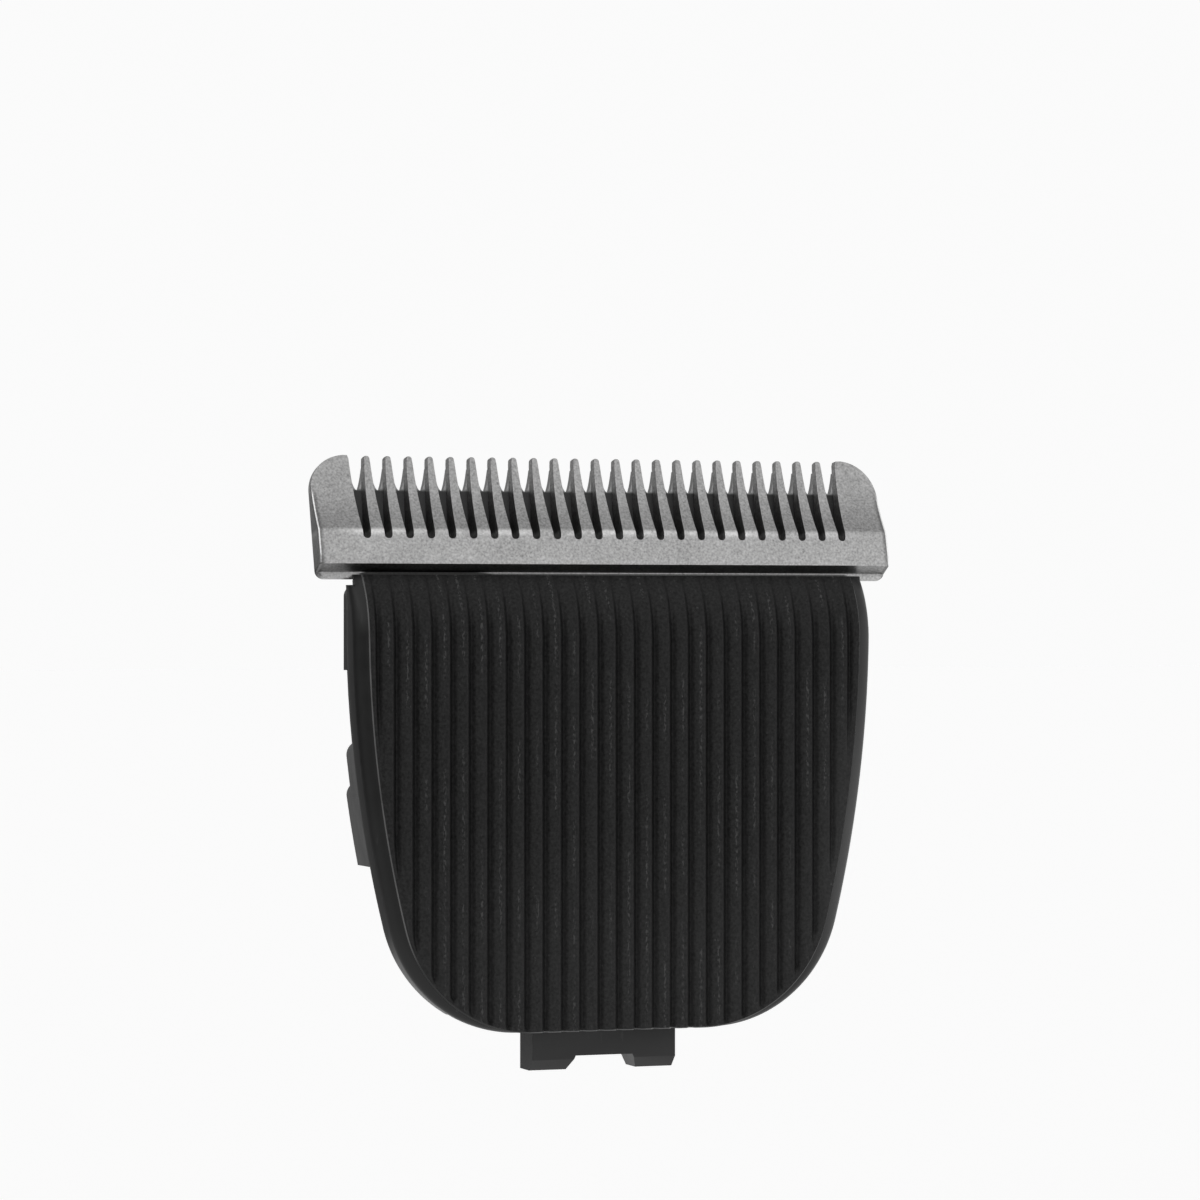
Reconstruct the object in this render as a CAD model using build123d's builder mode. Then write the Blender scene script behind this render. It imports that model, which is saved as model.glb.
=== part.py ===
from build123d import *
from math import cos, radians, sin, sqrt
import os

# Clipper head: steel comb and cutter on a plastic frame, behind a ribbed cover.
# X runs along the teeth, Y from the ribbed front to the rear, Z from the hook up to the tips.
# The origin is on the frame's rear rim, in the middle of its lower web. All sizes are in mm.

# Front cover
cover_half_width = 19.95
cover_height = 32.95
cover_depth = 2.6
cover_wall = 1.3
cover_face = 1.3
shoulder_drop = 3.25
corner_radius = 10.0
side_sweep = 14.0
border_width = 1.0
edge_bevel = 0.45
panel_step = 0.12
brow_drop = 4.75
brow_radius = 6.8
foot_gap = 25.2
ear_notch_width = 0.45

# Ribs of the cover
rib_pitch = 1.4
groove_depth = 0.32

# Rear frame
frame_wall = 1.5
frame_floor = 1.2
seat_bar = 1.6
bar_drop = 0.35
bar_foot = 5.4
frame_depth = 4.4
floor_gap = 0.9
fit = 0.1

# Hook under the frame
hook_width = 11.1
hook_length = 4.5
hook_thickness = 2.75
hook_setback = 0.6
hook_chamfer = 0.8
notch_width = 4.4
notch_depth = 1.05
notch_flare = 0.5

# Ears, snap tongues and lugs on the frame's sides
ear_drop = 0.75
ear_reach = 0.75
ear_length = 6.1
ear_thickness = 2.4
ear_radius = 0.8
tongue_top_height = 21.0
tongue_length = 6.6
tongue_reach = 1.1
tongue_thickness = 2.3
tongue_round = 1.0
lug_foot_height = 12.0
lug_length = 6.0
lug_reach = 1.15
lug_thickness = 3.3
lug_round = 0.9

# Comb, measured on its rear face, which leans back from the upright
blade_lean = 15.0
seat_rise = 0.75
seat_depth = 3.33
comb_overhang = 2.1
comb_reach = 8.05
comb_tip = 0.43
comb_thickness = 1.65
comb_kink = 2.1
comb_hollow = 0.15
band_drop = 0.4
shelf_drop = 0.7
flange_thickness = 0.46
lip_gap = 0.05
lip_cover = 0.4
flange_drop = 4.7
flange_inset = 0.35
lip_radius = 0.6
wing_radius = 2.75
wing_width = 2.8
tooth_pitch = 1.6
tooth_tip = 0.42
tooth_root = 0.98
slot_bottom = 1.48
slot_bevel = 0.2
tip_relief = 0.14

# Cutter
oil_film = 0.03
cutter_inset = 2.45
cutter_foot = 0.25
tip_lead = 0.75
cutter_thickness = 0.8
cutter_tip = 0.45
cutter_tooth_length = 1.68
cutter_tooth_width = 0.52
cutter_bevel = 2.2
cutter_corner = 0.8
cutter_gap_bevel = 0.3
stroke = 1.2

# Driver of the cutter
pad_inset = 5.8
pad_foot = 0.55
pad_top = 4.3
pad_thickness = 1.4
pad_corner = 0.7
arm_clear = 1.0
arm_gap = 0.2
arm_rear = 0.4
foot_reach = 3.0
foot_height = 2.4
foot_base = 13.0
drive_slot_width = 3.2
drive_slot_length = 8.0
drive_slot_height = 24.4
running = 0.15
rail_height = 1.4
rail_length = 3.0
rail_depth = 2.2

# Flat spring
spring_thickness = 0.35
spring_inset = 0.5
spring_arm_width = 2.4
spring_foot = 4.4
spring_strip = 4.8
spring_bend = 2.0
spring_curl = 1.0
spring_curl_back = 0.6
spring_touch = 0.05
spring_press = 2.0
boss_depth = 2.6
boss_width = 4.4

# Fasteners
screw_shank = 0.8
screw_head = 1.75
screw_head_height = 1.0
thread_fit = 0.02
head_gap = 0.1
spring_screw_inset = 4.3
blade_screw_drop = 2.9
cover_screw_inset = 0.9
cover_screw_height = 22.6
cover_post_radius = 2.0
rivet_gap = 0.7
rivet_shank = 0.9
rivet_head = 1.5
rivet_head_height = 0.5

# Places that follow from the sizes
foot_z = -(frame_wall / 2 + fit + cover_wall)
cover_top_z = foot_z + cover_height
shoulder_z = cover_top_z - shoulder_drop
brow_z = cover_top_z - brow_drop
cover_rear_y = -frame_depth
crest_y = cover_rear_y - cover_depth
cover_inner_y = crest_y + cover_face
floor_front_y = cover_inner_y + floor_gap
floor_rear_y = floor_front_y + frame_floor
frame_inset = cover_wall + fit
frame_half_width = cover_half_width - frame_inset
ear_top_z = cover_top_z - ear_drop
carrier_front_y = cover_rear_y + fit
hook_z = -hook_length - frame_wall / 2
foot_base_z = foot_z + foot_base
foot_top_z = foot_base_z + foot_height
strip_top_z = foot_z + spring_foot + spring_strip
spring_screw_z = foot_z + spring_foot + spring_strip / 2
cover_screw_z = foot_z + cover_screw_height

lean_sin = sin(radians(blade_lean))
lean_cos = cos(radians(blade_lean))
seat_y = crest_y + seat_depth
seat_z = cover_top_z + seat_rise
lip_room_z = cover_top_z - lip_cover
lip_drop = (seat_z - lip_room_z - lip_gap) / lean_cos
blade_plane = Plane((0, seat_y, seat_z), x_dir=(1, 0, 0), z_dir=(0, -lean_cos, lean_sin))
blade_section = Plane((0, seat_y, seat_z), x_dir=(0, lean_sin, lean_cos), z_dir=(1, 0, 0))
cutter_rear = oil_film + cutter_thickness
pad_rear = cutter_rear + pad_thickness

comb_half_width = cover_half_width + comb_overhang
flange_half_width = frame_half_width - flange_inset
slot_count = 2 * int((comb_half_width - wing_width) / tooth_pitch)
groove_count = 2 * int((cover_half_width - border_width) / rib_pitch) + 1
cutter_half_width = comb_half_width - cutter_inset
cutter_reach = comb_reach - tip_lead
cutter_gap = tooth_pitch - cutter_tooth_width
pad_half_width = cutter_half_width - pad_inset
spring_half_width = pad_half_width - spring_inset
spring_arm_x = spring_half_width - spring_arm_width
rivet_x = spring_arm_x - stroke - rivet_gap - rivet_head
arm_half_width = rivet_x - rivet_head - arm_clear
spring_screw_x = spring_half_width - spring_screw_inset
blade_screw_x = frame_half_width - frame_wall - screw_head - head_gap
cover_screw_x = frame_half_width - frame_wall - screw_head - cover_screw_inset
rivet_row = (pad_foot + pad_top) / 2
blade_normal = Axis((0, 0, 0), blade_plane.z_dir)


# A point of the leaning blade section, in the upright Y and Z
def upright(along, proud):
    return (seat_y + along * lean_sin - proud * lean_cos, seat_z + along * lean_cos + proud * lean_sin)


# Outline of the head: upright shoulders, sides drawn in along one long arc, round lower corners
def shield(half_width, foot, radius, top):
    sweep = radians(side_sweep)
    side_radius = (shoulder_z - foot - radius * (1 - sin(sweep))) / sin(sweep)
    with BuildSketch() as outline:
        with BuildLine():
            shoulder = Line((half_width, top), (half_width, shoulder_z))
            side = JernArc(shoulder @ 1, (0, -1), side_radius, -side_sweep)
            corner = JernArc(side @ 1, side % 1, radius, side_sweep - 90)
            Line(corner @ 1, (0, foot))
            mirror(about=Plane.YZ)
            Line((-half_width, top), (half_width, top))
        make_face()
    return outline.sketch


# The same outline drawn in by an equal amount all round
def inset_shield(inset, top):
    return shield(cover_half_width - inset, foot_z + inset, corner_radius - inset, top)


# Everything in front of a face that stands upright and then curves back under the blade
def brow(sunk):
    front = crest_y + sunk
    reach = brow_radius - sunk
    with BuildSketch() as profile:
        with BuildLine():
            upright_line = Line((front, foot_z - 2 * brow_radius), (front, brow_z))
            bend = JernArc(upright_line @ 1, (0, 1), reach, -90)
            Polyline(bend @ 1, (front + reach, brow_z + 2 * brow_radius),
                     (front - brow_radius, brow_z + 2 * brow_radius),
                     (front - brow_radius, foot_z - 2 * brow_radius), upright_line @ 0)
        make_face()
    return profile.sketch


# Screw with a round head, head on +Z of its plane and shank down
def round_screw(shank_length):
    with BuildPart() as screw:
        with BuildSketch():
            Circle(screw_head)
        extrude(amount=screw_head_height)
        with BuildSketch():
            Circle(screw_shank - thread_fit)
        extrude(amount=-shank_length)
    return screw.part


# One V groove between two ribs, drawn forward past their crests
with BuildSketch() as rib_groove:
    with BuildLine():
        Polyline((0, groove_depth), (2 * groove_depth, -groove_depth),
                 (-2 * groove_depth, -groove_depth), close=True)
    make_face()

# Front cover: bevelled border, ribbed panel that stands a little proud, open rear
with BuildPart() as front_cover:
    with BuildSketch(Plane.XZ.offset(-cover_rear_y)):
        add(inset_shield(0, cover_top_z))
    extrude(amount=cover_depth - panel_step)
    with BuildSketch(Plane.YZ):
        add(brow(panel_step))
    extrude(amount=2 * cover_half_width, both=True, mode=Mode.SUBTRACT)
    border = front_cover.edges().filter_by(GeomType.CIRCLE).group_by(Axis.Y)[0]
    brow_left = sqrt((brow_radius - panel_step) ** 2 - brow_drop ** 2) + cover_depth - brow_radius
    chamfer(border, min(edge_bevel, 0.95 * brow_left))
    with BuildSketch(Plane.XZ.offset(-cover_rear_y)):
        add(shield(cover_half_width - border_width, foot_z, corner_radius, cover_top_z))
    extrude(amount=cover_depth)
    with BuildSketch(Plane.YZ):
        add(brow(0))
    extrude(amount=2 * cover_half_width, both=True, mode=Mode.SUBTRACT)

    # V grooves between the ribs, straight up the face and then turned back round the brow
    with BuildSketch(Plane((0, crest_y, brow_z))) as grooves:
        with GridLocations(rib_pitch, 0, groove_count, 1):
            add(rib_groove.sketch)
    extrude(amount=-cover_height, mode=Mode.SUBTRACT)
    brow_axis = Axis((0, crest_y + brow_radius, brow_z), (-1, 0, 0))
    revolve(grooves.sketch, axis=brow_axis, revolution_arc=90, mode=Mode.SUBTRACT)

    # Hollow for the frame, and above it the sloping room for the comb's flange
    slope = flange_thickness + fit
    slope_start = (cover_inner_y - seat_y + slope * lean_cos) / lean_sin
    hollow_top_z = upright(slope_start, slope)[1]
    with BuildSketch(Plane.XZ.offset(-cover_rear_y)):
        add(inset_shield(cover_wall, cover_top_z))
        with Locations((0, hollow_top_z - cover_height)):
            Rectangle(2 * cover_half_width, 2 * cover_height, mode=Mode.INTERSECT)
    extrude(amount=cover_depth - cover_face, mode=Mode.SUBTRACT)
    with BuildSketch(Plane.YZ):
        with BuildLine():
            Polyline(upright(slope_start, slope), upright(comb_reach, slope),
                     (0, upright(comb_reach, slope)[1]), (0, hollow_top_z), close=True)
        make_face()
    extrude(amount=cover_half_width - cover_wall, both=True, mode=Mode.SUBTRACT)

    # Room for the comb's lip across the whole width, so that the brow's edge stands in front of it
    room_start = (lip_room_z - seat_z - slope * lean_sin) / lean_cos
    with BuildSketch(Plane.YZ):
        with BuildLine():
            Polyline(upright(room_start, slope), upright(comb_reach, slope),
                     (0, upright(comb_reach, slope)[1]), (0, lip_room_z), close=True)
        make_face()
    extrude(amount=2 * cover_half_width, both=True, mode=Mode.SUBTRACT)

    # Notches in the side walls, down to the tops of the frame's ears
    notch_x = cover_half_width - ear_notch_width / 2
    with BuildSketch(Plane.XZ.offset(-cover_rear_y)):
        with Locations((-notch_x, cover_top_z), (notch_x, cover_top_z)):
            Rectangle(ear_notch_width, 2 * ear_drop)
    extrude(amount=cover_depth, mode=Mode.SUBTRACT)

    # Gap in the lower wall where the hook comes out
    with BuildSketch(Plane.XZ.offset(-cover_rear_y)):
        with Locations((0, foot_z)):
            Rectangle(foot_gap, 2 * corner_radius)
    extrude(amount=cover_depth - cover_face, mode=Mode.SUBTRACT)

    # Screw posts
    with BuildSketch(Plane.XZ.offset(-floor_front_y)):
        with Locations((-cover_screw_x, cover_screw_z), (cover_screw_x, cover_screw_z)):
            Circle(cover_post_radius)
    extrude(amount=floor_gap)
    with BuildSketch(Plane.XZ.offset(-floor_front_y)):
        with Locations((-cover_screw_x, cover_screw_z), (cover_screw_x, cover_screw_z)):
            Circle(screw_shank)
    extrude(amount=floor_gap + cover_face / 2, mode=Mode.SUBTRACT)
front_cover.part.label = "front_cover"

# Rear frame: shallow tray, open to the rear and at the top
with BuildPart() as rear_frame:
    with BuildSketch(Plane.XZ):
        add(inset_shield(frame_inset, ear_top_z))
    extrude(amount=-floor_front_y)
    with BuildSketch(Plane.XZ):
        add(inset_shield(frame_inset + frame_wall, cover_top_z))
    extrude(amount=-floor_rear_y, mode=Mode.SUBTRACT)

    # Ears behind the cover's top corners
    ear_x = frame_half_width + (ear_reach - frame_wall) / 2
    with BuildSketch(Plane.XZ.offset(-carrier_front_y - ear_thickness)) as ears:
        with Locations((-ear_x, ear_top_z - ear_length / 2), (ear_x, ear_top_z - ear_length / 2)):
            Rectangle(frame_wall + ear_reach, ear_length)
        ear_tops = ears.vertices().group_by(Axis.Y)[-1].sort_by(Axis.X)
        fillet([ear_tops[0], ear_tops[-1]], ear_radius)
    extrude(amount=ear_thickness)

    # Leaning bar that the comb's flange sits on, cleared in front for the flange
    with BuildSketch(blade_plane):
        with Locations((0, -(bar_foot + bar_drop) / 2)):
            Rectangle(2 * frame_half_width, bar_foot - bar_drop)
    extrude(amount=-seat_bar)
    with BuildSketch(blade_plane):
        with Locations((0, comb_reach / 2)):
            Rectangle(4 * frame_half_width, comb_reach + 2 * (flange_drop + fit))
    extrude(amount=cover_depth, mode=Mode.SUBTRACT)

    # Snap tongues, and the lugs behind them
    with BuildSketch(Plane.XZ.offset(-carrier_front_y - tongue_thickness)) as tongues:
        add(inset_shield(frame_inset - tongue_reach, ear_top_z))
        add(inset_shield(frame_inset + frame_wall / 2, cover_top_z), mode=Mode.SUBTRACT)
        with Locations((0, foot_z + tongue_top_height - tongue_length / 2)):
            Rectangle(4 * frame_half_width, tongue_length, mode=Mode.INTERSECT)
        tongue_tops = tongues.vertices().group_by(Axis.Y)[-1].sort_by(Axis.X)
        fillet([tongue_tops[0], tongue_tops[-1]], tongue_round)
    extrude(amount=tongue_thickness)
    with BuildSketch(Plane.XZ.offset(-carrier_front_y - lug_thickness)) as lugs:
        add(inset_shield(frame_inset - lug_reach, ear_top_z))
        add(inset_shield(frame_inset + frame_wall / 2, cover_top_z), mode=Mode.SUBTRACT)
        with Locations((0, foot_z + lug_foot_height + lug_length / 2)):
            Rectangle(4 * frame_half_width, lug_length, mode=Mode.INTERSECT)
        lug_tops = lugs.vertices().group_by(Axis.Y)[-1].sort_by(Axis.X)
        fillet([lug_tops[0], lug_tops[-1]], lug_round)
    extrude(amount=lug_thickness)

    # Hook with two prongs, chamfered at the front
    with BuildSketch(Plane.XZ.offset(-carrier_front_y - hook_setback - hook_thickness)):
        with BuildLine():
            Polyline((0, hook_z + notch_depth), (notch_width / 2, hook_z + notch_depth),
                     (notch_width / 2 + notch_flare, hook_z), (hook_width / 2, hook_z),
                     (hook_width / 2, 0), (0, 0))
            mirror(about=Plane.YZ)
        make_face()
    extrude(amount=hook_thickness)
    prong_edges = rear_frame.edges().filter_by(Axis.X).group_by(Axis.Z)[0].group_by(Axis.Y)[0]
    chamfer(prong_edges, hook_chamfer)

    # Rails that keep the driver's foot level
    rail_x = arm_half_width + stroke + running + rail_length / 2
    upper_rail_z = foot_top_z + running + rail_height / 2
    with BuildSketch(Plane.XZ.offset(-floor_rear_y)):
        with Locations((0, foot_base_z - running - rail_height / 2)):
            Rectangle(2 * (arm_half_width + foot_reach + stroke), rail_height)
        with Locations((-rail_x, upper_rail_z), (rail_x, upper_rail_z)):
            Rectangle(rail_length, rail_height)
    extrude(amount=-rail_depth)

    # Bosses and holes for the screws
    with BuildSketch(Plane.XZ.offset(boss_depth)):
        with Locations((-spring_screw_x, spring_screw_z), (spring_screw_x, spring_screw_z)):
            Rectangle(boss_width, boss_width)
    extrude(amount=-floor_rear_y - boss_depth)
    with BuildSketch(Plane.XZ.offset(boss_depth)):
        with Locations((-spring_screw_x, spring_screw_z), (spring_screw_x, spring_screw_z)):
            Circle(screw_shank)
    extrude(amount=-floor_front_y - boss_depth, mode=Mode.SUBTRACT)
    with BuildSketch(Plane.XZ.offset(-floor_rear_y)):
        with Locations((-cover_screw_x, cover_screw_z), (cover_screw_x, cover_screw_z)):
            Circle(screw_shank + fit)
    extrude(amount=frame_floor, mode=Mode.SUBTRACT)
    with BuildSketch(blade_plane):
        with Locations((-blade_screw_x, -blade_screw_drop), (blade_screw_x, -blade_screw_drop)):
            Circle(screw_shank + fit)
    extrude(amount=-seat_bar, mode=Mode.SUBTRACT)
rear_frame.part.label = "rear_frame"

# One slot between two comb teeth: narrow and bevelled at the bottom, eased at the tips
mouth = (tooth_pitch - tooth_tip) / 2
root = (tooth_pitch - tooth_root) / 2
with BuildSketch() as comb_slot:
    with BuildLine():
        Polyline((0, comb_reach + tip_relief), (mouth + tip_relief, comb_reach + tip_relief),
                 (mouth, comb_reach - 2 * tip_relief), (root, slot_bottom + slot_bevel),
                 (root - slot_bevel, slot_bottom), (0, slot_bottom))
        mirror(about=Plane.YZ)
    make_face()

# Comb: hollow-ground section along the whole width, cut to its outline, then slotted
with BuildPart() as fixed_blade:
    with BuildSketch(blade_section):
        with BuildLine():
            Polyline((comb_kink, comb_thickness), (-band_drop, comb_thickness),
                     (-shelf_drop, flange_thickness), (-flange_drop, flange_thickness),
                     (-flange_drop, 0), (comb_reach, 0), (comb_reach, comb_tip))
            SagittaArc((comb_reach, comb_tip), (comb_kink, comb_thickness), comb_hollow)
        make_face()
    extrude(amount=comb_half_width, both=True)
    with BuildSketch(blade_plane) as comb_outline:
        with Locations((0, (comb_reach - lip_drop) / 2)):
            Rectangle(2 * comb_half_width, comb_reach + lip_drop)
        fillet(comb_outline.vertices().group_by(Axis.Y)[-1], wing_radius)
        fillet(comb_outline.vertices().group_by(Axis.Y)[0], lip_radius)
        with Locations((0, -(flange_drop + lip_drop) / 2)):
            Rectangle(2 * flange_half_width, flange_drop - lip_drop)
    extrude(amount=comb_thickness, mode=Mode.INTERSECT)
    with BuildSketch(blade_plane):
        with GridLocations(tooth_pitch, 0, slot_count, 1):
            add(comb_slot.sketch)
    extrude(amount=comb_thickness, mode=Mode.SUBTRACT)
    with BuildSketch(blade_plane):
        with Locations((-blade_screw_x, -blade_screw_drop), (blade_screw_x, -blade_screw_drop)):
            Circle(screw_shank)
    extrude(amount=flange_thickness, mode=Mode.SUBTRACT)
fixed_blade.part.label = "fixed_blade"

# Cutter: flat plate with short teeth, bevelled behind their tips
with BuildPart() as moving_blade:
    with BuildSketch(blade_section):
        with BuildLine():
            Polyline((cutter_foot, -oil_film), (cutter_reach, -oil_film),
                     (cutter_reach, -oil_film - cutter_tip), (cutter_reach - cutter_bevel, -cutter_rear),
                     (cutter_foot, -cutter_rear), close=True)
        make_face()
    extrude(amount=cutter_half_width, both=True)
    fillet(moving_blade.edges().filter_by(blade_normal).sort_by(Axis.Z)[:2], cutter_corner)
    with BuildSketch(blade_plane) as cutter_gaps:
        with Locations((0, cutter_reach)):
            with GridLocations(tooth_pitch, 0, slot_count, 1):
                Rectangle(cutter_gap, 2 * cutter_tooth_length)
        chamfer(cutter_gaps.vertices(), cutter_gap_bevel)
    extrude(amount=-2 * cutter_rear, mode=Mode.SUBTRACT)
    with BuildSketch(blade_plane):
        with Locations((-rivet_x, rivet_row), (rivet_x, rivet_row)):
            Circle(rivet_shank)
    extrude(amount=-2 * cutter_rear, mode=Mode.SUBTRACT)
moving_blade.part.label = "moving_blade"

# Driver: pad behind the cutter, arm down past the bar, foot between the rails
with BuildPart() as cutter_driver:
    with BuildSketch(blade_plane.offset(-cutter_rear)) as pad:
        with Locations((0, (pad_foot + pad_top) / 2)):
            Rectangle(2 * pad_half_width, pad_top - pad_foot)
        fillet(pad.vertices(), pad_corner)
    extrude(amount=-pad_thickness)
    arm_top_z = upright(pad_top, -pad_rear)[1]
    arm_front_y = upright(-bar_drop, -seat_bar)[0] + arm_gap
    with BuildSketch(Plane.XZ.offset(arm_rear)):
        with Locations((0, (arm_top_z + foot_base_z) / 2)):
            Rectangle(2 * arm_half_width, arm_top_z - foot_base_z)
    extrude(amount=-arm_front_y - arm_rear)
    with BuildSketch(Plane.XZ.offset(arm_rear)):
        with Locations((0, foot_base_z + foot_height / 2)):
            Rectangle(2 * (arm_half_width + foot_reach), foot_height)
    extrude(amount=-floor_rear_y - running - arm_rear)
    with BuildSketch(blade_plane.offset(-cutter_rear)):
        with Locations((0, comb_reach / 2)):
            Rectangle(4 * pad_half_width, 2 * comb_reach)
    extrude(amount=comb_reach, mode=Mode.SUBTRACT)
    with BuildSketch(Plane.XZ):
        with Locations((0, foot_z + drive_slot_height)):
            SlotOverall(drive_slot_length, drive_slot_width, rotation=90)
    extrude(amount=2 * frame_depth, mode=Mode.SUBTRACT)
    with BuildSketch(blade_plane):
        with Locations((-rivet_x, rivet_row), (rivet_x, rivet_row)):
            Circle(rivet_shank)
    extrude(amount=-2 * pad_rear, mode=Mode.SUBTRACT)
cutter_driver.part.label = "cutter_driver"

# Rivets through cutter and pad, flush in front and headed behind
with BuildPart() as driver_rivets:
    with BuildSketch(blade_plane.offset(-oil_film)):
        with Locations((-rivet_x, rivet_row), (rivet_x, rivet_row)):
            Circle(rivet_shank - thread_fit)
    extrude(amount=oil_film - pad_rear)
    with BuildSketch(blade_plane.offset(-pad_rear)):
        with Locations((-rivet_x, rivet_row), (rivet_x, rivet_row)):
            Circle(rivet_head)
    extrude(amount=-rivet_head_height)
driver_rivets.part.label = "driver_rivets"

# Flat spring: strip on the bosses, two arms that press on the pad
with BuildPart() as pressure_spring:
    touch_y, touch_z = upright(spring_press, -pad_rear)
    with BuildSketch(Plane.YZ):
        with BuildLine():
            FilletPolyline((-boss_depth, foot_z + spring_foot), (-boss_depth, strip_top_z),
                           (touch_y + spring_touch, touch_z),
                           (touch_y + spring_touch + spring_curl_back, touch_z + spring_curl),
                           radius=spring_bend)
            offset(amount=spring_thickness, side=Side.RIGHT)
        make_face()
    extrude(amount=spring_half_width, both=True)
    with BuildSketch(Plane.XZ):
        with Locations((0, strip_top_z + cover_height / 2)):
            Rectangle(2 * spring_arm_x, cover_height)
    extrude(amount=2 * frame_depth, mode=Mode.SUBTRACT)
    with BuildSketch(Plane.XZ):
        add(inset_shield(frame_inset + frame_wall + fit, 2 * cover_height))
    extrude(amount=2 * frame_depth, mode=Mode.INTERSECT)
    with BuildSketch(Plane.XZ):
        with Locations((-spring_screw_x, spring_screw_z), (spring_screw_x, spring_screw_z)):
            Circle(screw_shank + fit)
    extrude(amount=2 * frame_depth, mode=Mode.SUBTRACT)
pressure_spring.part.label = "pressure_spring"

# Screws, heads to the rear
rear_facing = Plane((0, 0, 0), x_dir=(1, 0, 0), z_dir=(0, 1, 0))
with BuildPart() as spring_screws:
    with Locations(rear_facing.offset(spring_thickness - boss_depth)):
        with Locations((-spring_screw_x, -spring_screw_z), (spring_screw_x, -spring_screw_z)):
            add(round_screw(spring_thickness - floor_rear_y - boss_depth))
spring_screws.part.label = "spring_screws"

with BuildPart() as cover_screws:
    with Locations(rear_facing.offset(floor_rear_y)):
        with Locations((-cover_screw_x, -cover_screw_z), (cover_screw_x, -cover_screw_z)):
            add(round_screw(frame_floor + floor_gap + cover_face / 3))
cover_screws.part.label = "cover_screws"

with BuildPart() as blade_screws:
    behind_bar = Plane(blade_plane.offset(-seat_bar).origin, x_dir=(1, 0, 0), z_dir=-blade_plane.z_dir)
    with Locations(behind_bar):
        with Locations((-blade_screw_x, blade_screw_drop), (blade_screw_x, blade_screw_drop)):
            add(round_screw(seat_bar + flange_thickness))
blade_screws.part.label = "blade_screws"

os.makedirs("parts", exist_ok=True)
for piece in (front_cover, rear_frame, fixed_blade, moving_blade, cutter_driver, driver_rivets,
              pressure_spring, spring_screws, cover_screws, blade_screws):
    export_step(piece.part, f"parts/{piece.part.label}.step")
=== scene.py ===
from math import cos, pi, radians, sin, tan

import bmesh
import bpy
import numpy as np
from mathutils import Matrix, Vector


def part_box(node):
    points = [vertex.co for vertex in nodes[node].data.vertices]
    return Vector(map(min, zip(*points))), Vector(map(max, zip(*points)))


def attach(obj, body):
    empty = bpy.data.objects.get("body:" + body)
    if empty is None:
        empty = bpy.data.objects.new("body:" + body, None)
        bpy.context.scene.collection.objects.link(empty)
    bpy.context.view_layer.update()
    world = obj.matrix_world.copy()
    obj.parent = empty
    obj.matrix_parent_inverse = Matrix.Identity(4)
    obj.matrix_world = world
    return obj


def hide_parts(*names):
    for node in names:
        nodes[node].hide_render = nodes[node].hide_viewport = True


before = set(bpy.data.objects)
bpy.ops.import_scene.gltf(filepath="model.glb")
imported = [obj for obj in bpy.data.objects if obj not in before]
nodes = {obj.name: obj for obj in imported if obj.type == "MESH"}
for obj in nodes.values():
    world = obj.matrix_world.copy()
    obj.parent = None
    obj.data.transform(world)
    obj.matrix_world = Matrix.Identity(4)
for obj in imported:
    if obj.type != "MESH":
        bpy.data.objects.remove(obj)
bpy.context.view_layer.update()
mm = 0.001                                                    # sizes here are in mm, meshes in metres
print("frame loaded:", len(nodes), "nodes")


# lowest and highest corner of a CAD node, in mm
def boxOf(node):
    return [np.array(corner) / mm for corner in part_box(node)]


# Shader maths

class Flow:  # a socket that takes part in Python expressions

    def __init__(self, tree, socket=None):
        self.tree = tree
        self.socket = socket

    # any node: its type, the settings that come first, its inputs by name or number, and the output wanted
    def node(self, kind, settings=None, inputs=None, output=0):
        made = self.tree.nodes.new(kind)
        for name, value in (settings or {}).items():
            setattr(made, name, value)
        for name, value in (inputs or {}).items():
            if isinstance(value, Flow):
                self.tree.links.new(value.socket, made.inputs[name])
            else:
                made.inputs[name].default_value = value
        return Flow(self.tree, made.outputs[output])

    def calc(self, operation, first, second=0.0):
        return self.node("ShaderNodeMath", {"operation": operation}, {0: first, 1: second})

    def __add__(self, other):
        return self.calc("ADD", self, other)

    def __radd__(self, other):
        return self.calc("ADD", other, self)

    def __sub__(self, other):
        return self.calc("SUBTRACT", self, other)

    def __rsub__(self, other):
        return self.calc("SUBTRACT", other, self)

    def __mul__(self, other):
        return self.calc("MULTIPLY", self, other)

    def __rmul__(self, other):
        return self.calc("MULTIPLY", other, self)

    def __truediv__(self, other):
        return self.calc("DIVIDE", self, other)

    def __abs__(self):
        return self.calc("ABSOLUTE", self)

    def fraction(self):
        return self.calc("FRACT", self)

    def clamp(self):
        return self.node("ShaderNodeClamp", {}, {0: self})

    def step(self, low, high):  # 0 below low, 1 above high, smooth between
        return self.node("ShaderNodeMapRange", {"interpolation_type": "SMOOTHSTEP"},
                         {"Value": self, "From Min": low, "From Max": high})

    def noise(self, scale, detail=2.0, stretch=(1, 1, 1)):  # scale is in cells per metre
        place = self.node("ShaderNodeMapping", {}, {"Vector": self, "Scale": stretch})
        return self.node("ShaderNodeTexNoise", {}, {"Vector": place, "Scale": scale, "Detail": detail})

    def axis(self, which):  # one coordinate in mm
        return self.node("ShaderNodeSeparateXYZ", {}, {0: self}, which) / mm

    def mix(self, first, second):  # self is the factor between two colours
        return self.node("ShaderNodeMix", {"data_type": "RGBA"}, {0: self, 6: first, 7: second}, 2)

    def shade(self, warmth=0.0):  # a number becomes a grey
        return self.mix(grey(0.0), grey(1.0, warmth))


def grey(value, warmth=0.0):
    return (value * (1 + warmth), value, value * (1 - warmth), 1.0)


# starts a material, with its fixed values on the shader's own sockets
def plainFinish(name, fixed):
    finish = bpy.data.materials.new(name)
    finish.use_nodes = True
    shader = finish.node_tree.nodes["Principled BSDF"]
    for socket, value in fixed.items():
        shader.inputs[socket].default_value = value
    return finish, shader


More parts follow.
